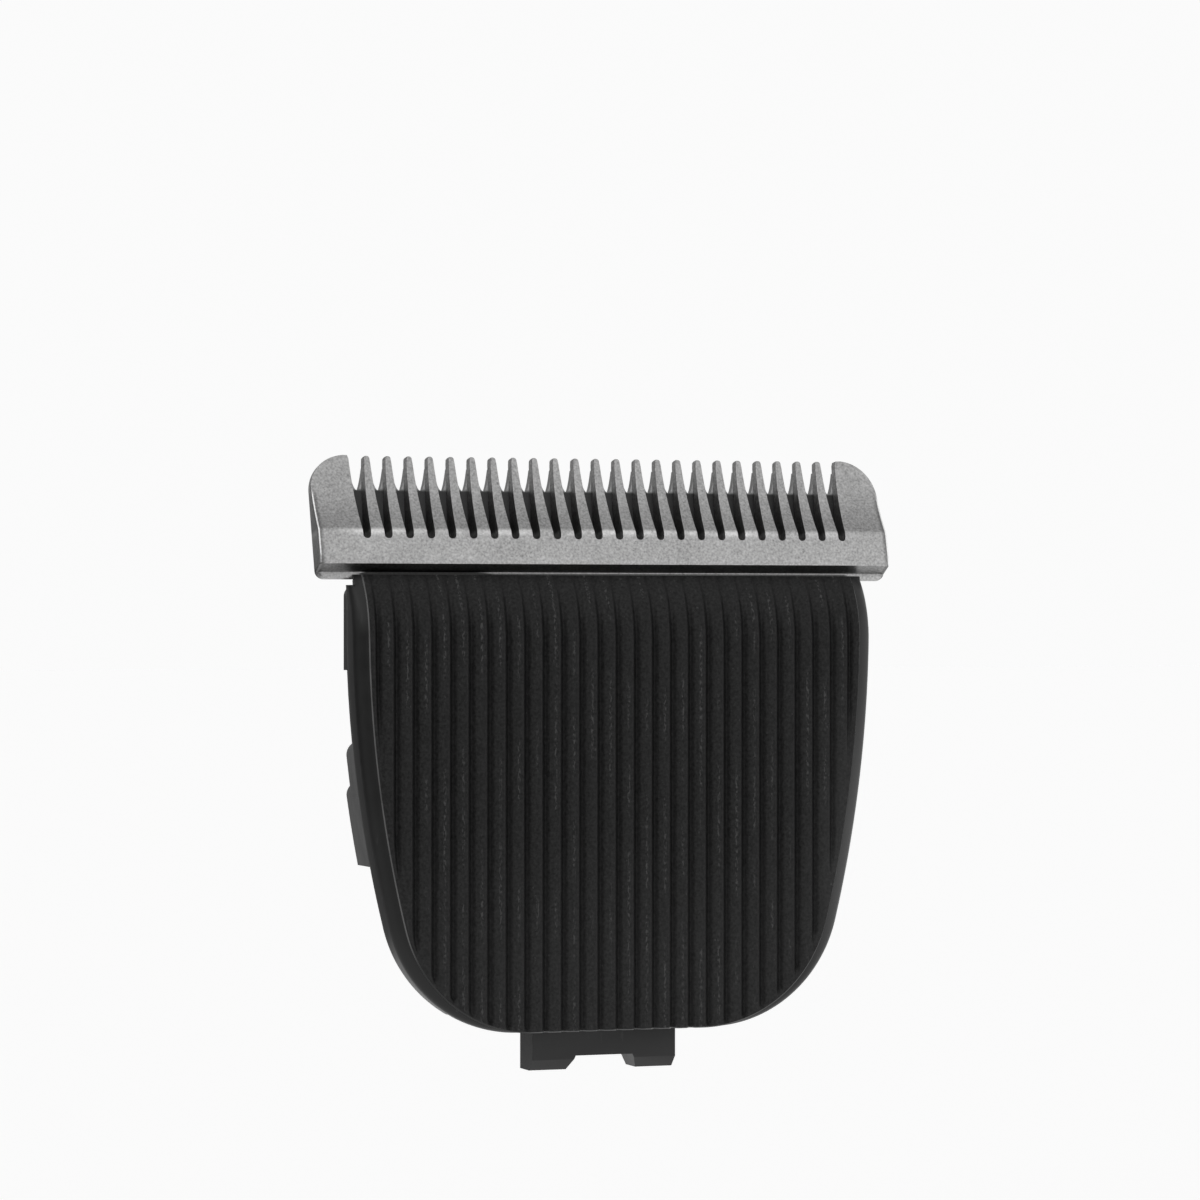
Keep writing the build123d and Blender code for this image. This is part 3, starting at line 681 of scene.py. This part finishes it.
# front of the comb: flange, shelf, flat band, then a hollow that falls to the tips (a chord less a parabola)
def combFront(u):
    past = u - blade["kink"]
    bent = 0.5 * (past + np.sqrt(past ** 2 + comb["kinkRound"] ** 2))     # a soft bend at the kink
    share = np.clip(bent / (blade["reach"] - blade["kink"]), 0, 1)
    chord = comb["thick"] + (comb["tip"] - comb["thick"]) * share
    ground = chord - 4 * comb["hollow"] * share * (1 - share)
    shelf = np.clip((u + comb["shelfDrop"]) / (comb["shelfDrop"] - comb["bandDrop"]), 0, 1)
    return comb["flange"] + (ground - comb["flange"]) * shelf


# half the width of a slot: a half circle at the bottom, a straight taper, then eased at the mouth
def slotHalf(u):
    root, relief = comb["root"], comb["relief"]
    up = np.clip(u - comb["slotBottom"], 0, None)
    bowl = np.sqrt(np.maximum(root ** 2 - (root - np.minimum(up, root)) ** 2, 0))
    start, stop = comb["slotBottom"] + root, blade["reach"] - 2 * relief
    taper = (comb["mouth"] - root) * np.clip((u - start) / (stop - start), 0, 1)
    return bowl + taper + relief * np.clip((u - stop) / (3 * relief), 0, 1)


# outer edge of the comb: round at the lip's corners and at the wings
def wingEdge(u):
    lip = np.clip(comb["lipRound"] - (u + comb["lipDrop"]), 0, comb["lipRound"])
    wing = np.clip(u - blade["reach"] + comb["wingRound"], 0, comb["wingRound"])
    return (blade["halfWidth"] - comb["lipRound"] + np.sqrt(comb["lipRound"] ** 2 - lip ** 2)
            - comb["wingRound"] + np.sqrt(comb["wingRound"] ** 2 - wing ** 2))


# radius of the rolled edge at both ends: a bell curve, fullest at the band's lower corners
def endRoll(u):
    swell = comb["endSwell"] * np.exp(-((u + comb["bandDrop"]) / comb["endSwellReach"]) ** 2)
    return np.minimum(comb["endEdge"] + swell, comb["endShare"] * combFront(u))


# how far a tooth's flanks spread towards the cutter
def slotFlare(u):
    return np.minimum(comb["flare"], comb["flareShare"] * slotHalf(u))


# a tube up the blade: at each u a section from left to right with rolled front edges and a flat back
def bladeTube(u, left, right, front, rollLeft, rollRight, back=0.0, flareLeft=0.0, flareRight=0.0):
    turns = np.linspace(0, pi / 2, rollSteps)
    back = np.broadcast_to(back, u.shape)
    leftX = [left + rollLeft * (1 - cos(turn)) for turn in turns]
    leftN = [front - rollLeft * (1 - sin(turn)) for turn in turns]
    rightX = [right - rollRight * (1 - cos(turn)) for turn in turns[::-1]]
    rightN = [front - rollRight * (1 - sin(turn)) for turn in turns[::-1]]
    x = np.stack([left - flareLeft, *leftX, *rightX, right + flareRight, left - flareLeft], 1)
    n = np.stack([back, *leftN, *rightN, back, back], 1)
    return bladePoint(x, np.broadcast_to(u[:, None], x.shape), n)


# closes one end of a tube with a strip from its front edge to its back
def tubeEnd(row):
    half = row[1:-2]
    back = np.linspace(0, 1, len(half))[:, None]
    return np.stack([half, row[0] + back * (row[-2] - row[0])])


# adds a tube to a piece's grids, with its first (0) or last (-1) end closed
def addTube(grids, tube, *ends):
    grids.append((tube, 0))
    grids.extend((tubeEnd(tube[end]), 0) for end in ends)


# flange, then the lip and the shelf up to just above the band's lower edge
def addCombFoot(grids, toothFoot):
    u = np.array([-comb["flangeDrop"], -comb["lipDrop"]])
    half, soft = np.full(2, comb["flangeHalf"]), np.full(2, comb["flangeEdge"])
    addTube(grids, bladeTube(u, -half, half, combFront(u), soft, soft), 0)
    turn = np.linspace(0, pi / 2, comb["lipSteps"])
    corner = comb["lipRound"] * (1 - np.cos(turn)) - comb["lipDrop"]
    shelf = np.array(comb["shelfRows"]) - comb["shelfDrop"]
    band = np.array(comb["bandRows"]) - comb["bandDrop"]
    u = np.unique(np.concatenate([corner, shelf, band, [toothFoot]]))
    half, roll = wingEdge(u), endRoll(u)
    addTube(grids, bladeTube(u, -half, half, combFront(u), roll, roll), 0)


# rows up a tooth: close together in the slot's bowl, at the kink and round the tip
def toothRows(toothFoot):
    bowl = comb["slotBottom"] + comb["root"] * (1 - np.cos(np.linspace(0, pi / 2, comb["bowlSteps"])))
    nose = blade["reach"] - comb["tipRound"] * np.cos(np.linspace(0, pi / 2, comb["tipSteps"]))
    kink = blade["kink"] + np.linspace(*comb["kinkRows"])
    flank = np.linspace(comb["slotBottom"] + comb["root"], nose[0], comb["flankSteps"])[1:-1]
    return np.unique(np.concatenate([[toothFoot, *comb["footRows"]], bowl, kink, flank, nose]))


# one tooth between each two slots, rounded at its tip in width and thickness
def addTeeth(grids, u):
    slot, front = slotHalf(u), combFront(u)
    over = np.clip((u - blade["reach"] + comb["tipRound"]) / comb["tipRound"], 0, 1)
    close = np.sqrt(np.maximum(1 - over ** 2, comb["tipLeast"]))
    middle = front * 0.5
    tipFront, tipBack = middle + (front - middle) * close, middle * (1 - close)
    half = (blade["pitch"] / 2 - slot) * (comb["tipWidth"] + (1 - comb["tipWidth"]) * close)
    roll = np.minimum(np.minimum(comb["edge"], 0.5 * slot), 0.5 * half)
    flare = slotFlare(u) * close
    for at in toothPlaces():
        addTube(grids, bladeTube(u, at - half, at + half, tipFront, roll, roll, tipBack, flare, flare), -1)


# the wide rounded wing at each end
def addWings(grids, u):
    turn = np.linspace(0, pi / 2, comb["wingSteps"])
    fall = blade["reach"] - comb["wingRound"] + comb["wingRound"] * np.sin(turn)
    u = np.unique(np.concatenate([u[u <= blade["reach"] - comb["tipRound"]], fall]))
    u = u[u <= blade["reach"] - comb["wingStop"]]             # short of the wing's very end
    inner = lastSlot() + slotHalf(u)
    outer = np.maximum(wingEdge(u), inner + comb["wingLeast"])
    rollIn = np.minimum(comb["edge"], 0.5 * slotHalf(u))
    rollOut = np.minimum(endRoll(u), 0.5 * (outer - inner))
    wing = bladeTube(u, inner, outer, combFront(u), rollIn, rollOut, 0.0, slotFlare(u))
    addTube(grids, wing, -1)
    addTube(grids, mirrored(wing), -1)


def buildComb():
    grids = []
    toothFoot = comb["toothFoot"] - comb["bandDrop"]
    addCombFoot(grids, toothFoot)
    addTeeth(grids, toothRows(toothFoot))
    addWings(grids, toothRows(toothFoot))
    return makePiece("groundComb", grids, ["comb"], "head", "fixed_blade")


# Cutter

# foot, reach and gapBottom are places along u; front and the rears are places along n
cutter = {"halfWidth": boxOf("moving_blade")[1][0], "foot": 0.25, "reach": 7.3, "corner": 0.8, "edge": 0.03,
          "front": -0.03, "rear": -0.83, "tipRear": -0.48, "bevel": 2.2, "tipEase": 0.03,
          "gapBottom": 5.55, "gapBowl": 0.42, "gap": 1.08, "gapMouth": 1.28,
          "cornerSteps": 8, "bowlSteps": 12}


# half the width of a gap between cutter teeth: a parabola from its bottom, up to a straight taper
def gapHalf(u):
    up = np.maximum(u - cutter["gapBottom"], 0)
    share = up / (cutter["reach"] - cutter["gapBottom"])
    taper = cutter["gap"] + (cutter["gapMouth"] - cutter["gap"]) * share
    return np.minimum(cutter["gapBowl"] * np.sqrt(up), taper / 2)


# rear of the cutter: flat, then a bevel that thins it to the tips
def cutterBack(u):
    share = np.clip((u - cutter["reach"] + cutter["bevel"]) / cutter["bevel"], 0, 1)
    return cutter["rear"] + (cutter["tipRear"] - cutter["rear"]) * share


def buildCutter():
    grids = []
    turn = np.linspace(0, pi / 2, cutter["cornerSteps"])
    u = np.concatenate([cutter["foot"] + cutter["corner"] * (1 - np.cos(turn)),
                        [cutter["reach"] - cutter["bevel"], cutter["gapBottom"]]])
    half, front, edge = [np.full(len(u), cutter[size]) for size in ("halfWidth", "front", "edge")]
    half[:len(turn)] -= cutter["corner"] * (1 - np.sin(turn))
    addTube(grids, bladeTube(u, -half, half, front, edge, edge, cutterBack(u)), 0, -1)

    ease = cutter["tipEase"]                                  # the last row is set back, which eases the tip
    bowl = np.linspace(0, 1, cutter["bowlSteps"]) ** 2 * (cutter["reach"] - ease - cutter["gapBottom"])
    u = np.append(cutter["gapBottom"] + bowl, cutter["reach"])
    outer, front, edge = [np.full(len(u), cutter[size]) for size in ("halfWidth", "front", "edge")]
    front[-1] -= ease
    half = blade["pitch"] / 2 - gapHalf(u)
    for at in toothPlaces():
        addTube(grids, bladeTube(u, at - half, at + half, front, edge, edge, cutterBack(u)), 0, -1)
    end = bladeTube(u, lastSlot() + gapHalf(u), outer, front, edge, edge, cutterBack(u))
    addTube(grids, end, 0, -1)
    addTube(grids, mirrored(end), 0, -1)
    return makePiece("cutterPlate", grids, ["cutter"], "cutter", "moving_blade")


# Frame, driver and spring: the CAD shape, merged and with its edges eased

# finish, body, slot, and width of the eased edge
eased = {"rear_frame": ("frame", "head", "frame_plastic", 0.12),
         "cutter_driver": ("driver", "cutter", "driver_plastic", 0.12),
         "pressure_spring": ("spring", "head", "spring_steel", 0.05)}


def easeNode(node, look, body, slot, width):
    mesh = nodes[node].data.copy()
    shell = bmesh.new()
    shell.from_mesh(mesh)
    bmesh.ops.remove_doubles(shell, verts=shell.verts, dist=meshRules["cadMerge"] * mm)
    flat = radians(meshRules["cadFlat"])
    bmesh.ops.dissolve_limit(shell, angle_limit=flat, verts=shell.verts, edges=shell.edges)
    shell.to_mesh(mesh)
    shell.free()
    mesh.materials.clear()
    mesh.materials.append(finishes[look])
    mesh.shade_smooth()
    mesh.set_sharp_from_angle(angle=radians(meshRules["cadSharp"]))
    piece = addPiece(node + "Eased", mesh, body, node)
    bevel = piece.modifiers.new("edges", "BEVEL")
    bevel.width = width * mm
    bevel.segments = 2
    bevel.limit_method = "ANGLE"
    bevel.angle_limit = radians(meshRules["bevelFrom"])
    bevel.harden_normals = True


# Screws and rivets: turned profiles, the screws with a cross recess

screw = {"radius": 1.75, "height": 1.0, "shank": 0.78, "recessed": True}
rivet = {"radius": 1.5, "height": 0.5, "shank": 0.88, "recessed": False}
cross = {"length": 2.1, "width": 0.42, "depth": 0.6, "sideSlope": 0.06, "endSlope": 0.5, "topFrom": 0.45}
turned = {"skirtShare": 0.35, "aroundSteps": 97, "domeSteps": 26}         # the skirt is below the dome
# node, body, kind, length of the shank, and for a pair that leans with the blade the u and n of its seat
pairs = {"springScrews": ("spring_screws", "head", screw, 1.35, None),
         "coverScrews": ("cover_screws", "head", screw, 2.5, None),
         "bladeScrews": ("blade_screws", "head", screw, 2.06, (-2.9, -1.6)),
         "driverRivets": ("driver_rivets", "cutter", rivet, 2.2, (2.425, -2.23))}


# depth of a cross recess at x, y: two crossed bars with sloping ends, deepest in the middle
def crossDepth(x, y):
    def bar(along, across):
        narrow = np.clip((cross["width"] / 2 - np.abs(across)) / cross["sideSlope"], 0, 1)
        return narrow * np.clip((cross["length"] / 2 - np.abs(along)) / cross["endSlope"], 0, 1)
    return cross["depth"] * np.maximum(bar(x, y), bar(y, x))


# a turned piece along its axis: rings at given radii and heights, then the recess taken off its top
def turnedGrid(centre, axis, radii, heights, recessed):
    angle = np.linspace(0, 2 * pi, turned["aroundSteps"])
    across = np.array([1.0, 0.0, 0.0])
    x = radii[:, None] * np.cos(angle)
    y = radii[:, None] * np.sin(angle)
    height = np.broadcast_to(heights[:, None], x.shape).copy()
    if recessed:
        top = heights > cross["topFrom"] * screw["height"]
        height[top] -= crossDepth(x[top], y[top])
    other = np.cross(axis, across)
    return centre + x[..., None] * across + y[..., None] * other + height[..., None] * axis


# middle of the right head's underside, and its axis: straight back, placed by the box of its node, or leaning
# with the blade, on its seat
def headPlace(node, kind, seat):
    low, high = boxOf(node)
    x, lean = high[0] - kind["radius"], radians(blade["lean"])
    if seat:
        return bladePoint(x, *seat), np.array([0.0, cos(lean), -sin(lean)])
    return np.array([x, high[1] - kind["height"], (low[2] + high[2]) / 2]), np.array([0.0, 1.0, 0.0])


# a pair of equal fasteners: end and side of the shank, underside and rim of the head, then a quarter ellipse
def buildFasteners(name, node, body, kind, length, seat):
    radius, shank, skirt = kind["radius"], kind["shank"], turned["skirtShare"] * kind["height"]
    dome = np.linspace(0, pi / 2, turned["domeSteps"])
    crown = skirt + (kind["height"] - skirt) * np.sin(dome)
    radii = np.concatenate([[0, shank, shank, radius, radius], radius * np.cos(dome)])
    heights = np.concatenate([[-length, -length, 0, 0, skirt], crown])
    place, axis = headPlace(node, kind, seat)
    grids = [(turnedGrid(at, axis, radii, heights, kind["recessed"]), 0) for at in (mirrored(place), place)]
    return makePiece(name, grids, ["screws"], body, node)


# Studio

studio = {"floorZ": -45.0, "floorSize": 6000.0, "white": 0.962, "room": 0.5, "floorTone": 0.8,
          "camera": (-111.47, -309.07, 27.55), "yaw": -20.0, "lens": 133.5, "sensor": 36.0,
          "shiftUp": 20 / 1200, "clip": (10.0, 20000.0)}
keyLight = {"from": (-0.80, -0.50, 0.34), "strength": 1.1, "spread": 50.0}
# cards for the reflections: place, the point it faces, width and height (mm), and its brightness
cards = {"lowBehindLeft": ((-42, 52, 10), (-20, -4, 10), (70, 50), 0.2),
         "highBehindLeft": ((-42, 52, 70), (-20, -4, 40), (150, 70), 0.4),
         "left": ((-180, -65, 65), (0, -65, 65), (330, 240), 0.08),
         "frontLeft": ((-101, -217, 20), (0, -5, 20), (150, 150), 0.08),
         "frontRight": ((170, -90, 15), (0, -5, 15), (160, 160), 1.4)}


# 1 for rays that show the backdrop: from the camera, a mirror or through glass
def seesBackdrop(flow):
    rays = ("Is Camera Ray", "Is Glossy Ray", "Is Transmission Ray")
    camera, glossy, through = [flow.node("ShaderNodeLightPath", output=ray) for ray in rays]
    return (camera + glossy + through).clamp()


# one flat face of the studio, wide by high, turned and then moved to its place
def addSheet(name, wide, high, turn, place, look):
    flat = ((-wide, -high, 0), (wide, -high, 0), (wide, high, 0), (-wide, high, 0))
    corners = [tuple((Vector(place) + turn @ Vector(corner) / 2) * mm) for corner in flat]
    mesh = bpy.data.meshes.new(name)
    mesh.from_pydata(corners, [], [(0, 1, 2, 3)])
    mesh.materials.append(look)
    sheet = addObject(name, mesh)
    return sheet


# pale floor: its own shade keeps the object's shadow, and a lift for the backdrop's rays brings it to white
def buildFloor():
    fixed = {"Base Color": grey(studio["floorTone"]), "Roughness": 1.0, "Specular IOR Level": 0.0,
             "Emission Strength": 1.0}
    look, shader = plainFinish("floorPaper", fixed)
    steep = Vector(keyLight["from"]).normalized().z
    lit = studio["floorTone"] * (studio["room"] + keyLight["strength"] * steep / pi)
    lift = seesBackdrop(Flow(look.node_tree)) * (studio["white"] - lit)
    feed(lift.shade(), shader, "Emission Color")
    size = 2 * studio["floorSize"]
    addSheet("floor", size, size, Vector((0, 0, 1)).to_track_quat("Z", "Y"), (0, 0, studio["floorZ"]), look)


def buildWorld():
    world = bpy.data.worlds.new("studio")
    bpy.context.scene.world = world
    world.use_nodes = True
    back = world.node_tree.nodes["Background"]
    back.inputs["Color"].default_value = grey(1.0)
    strength = studio["room"] + seesBackdrop(Flow(world.node_tree)) * (studio["white"] - studio["room"])
    feed(strength, back, "Strength")


def buildKey():
    data = bpy.data.lights.new("key", "SUN")
    data.energy = keyLight["strength"]
    data.angle = radians(keyLight["spread"])
    lamp = addObject("key", data)
    lamp.rotation_euler = Vector(keyLight["from"]).to_track_quat("Z", "Y").to_euler()


# a plain glowing card that only reflections see
def addCard(name, place, aim, size, glow):
    fixed = {"Base Color": grey(0.0), "Specular IOR Level": 0.0, "Emission Color": grey(1.0),
             "Emission Strength": glow}
    turn = (Vector(aim) - Vector(place)).to_track_quat("-Z", "Y")
    card = addSheet(name, *size, turn, place, plainFinish(name, fixed)[0])
    card.visible_camera = False
    card.visible_diffuse = False
    card.visible_shadow = False
    card.visible_transmission = False


def buildCamera():
    data = bpy.data.cameras.new("camera")
    data.sensor_width = studio["sensor"]
    data.lens = studio["lens"]
    data.shift_y = studio["shiftUp"]
    data.clip_start, data.clip_end = [distance * mm for distance in studio["clip"]]
    camera = addObject("camera", data)
    camera.location = Vector(studio["camera"]) * mm
    camera.rotation_euler = (radians(90), 0, radians(studio["yaw"]))
    bpy.context.scene.camera = camera


# Building

finishes = {"comb": combSteel(), "cutter": cutterSteel(), "ribs": ribPlastic(), "border": borderPlastic(),
            "crease": creasePlastic(), "frame": framePlastic(), "driver": driverPlastic(),
            "spring": springSteel(), "screws": screwSteel()}
print("finishes made:", len(finishes))

buildCover()
buildComb()
buildCutter()
for node, values in eased.items():
    easeNode(node, *values)

for name, values in pairs.items():
    buildFasteners(name, *values)

buildFloor()
buildWorld()
buildKey()
for name, values in cards.items():
    addCard(name, *values)
buildCamera()
bpy.context.scene.view_settings.view_transform = "Standard"
print("studio set")
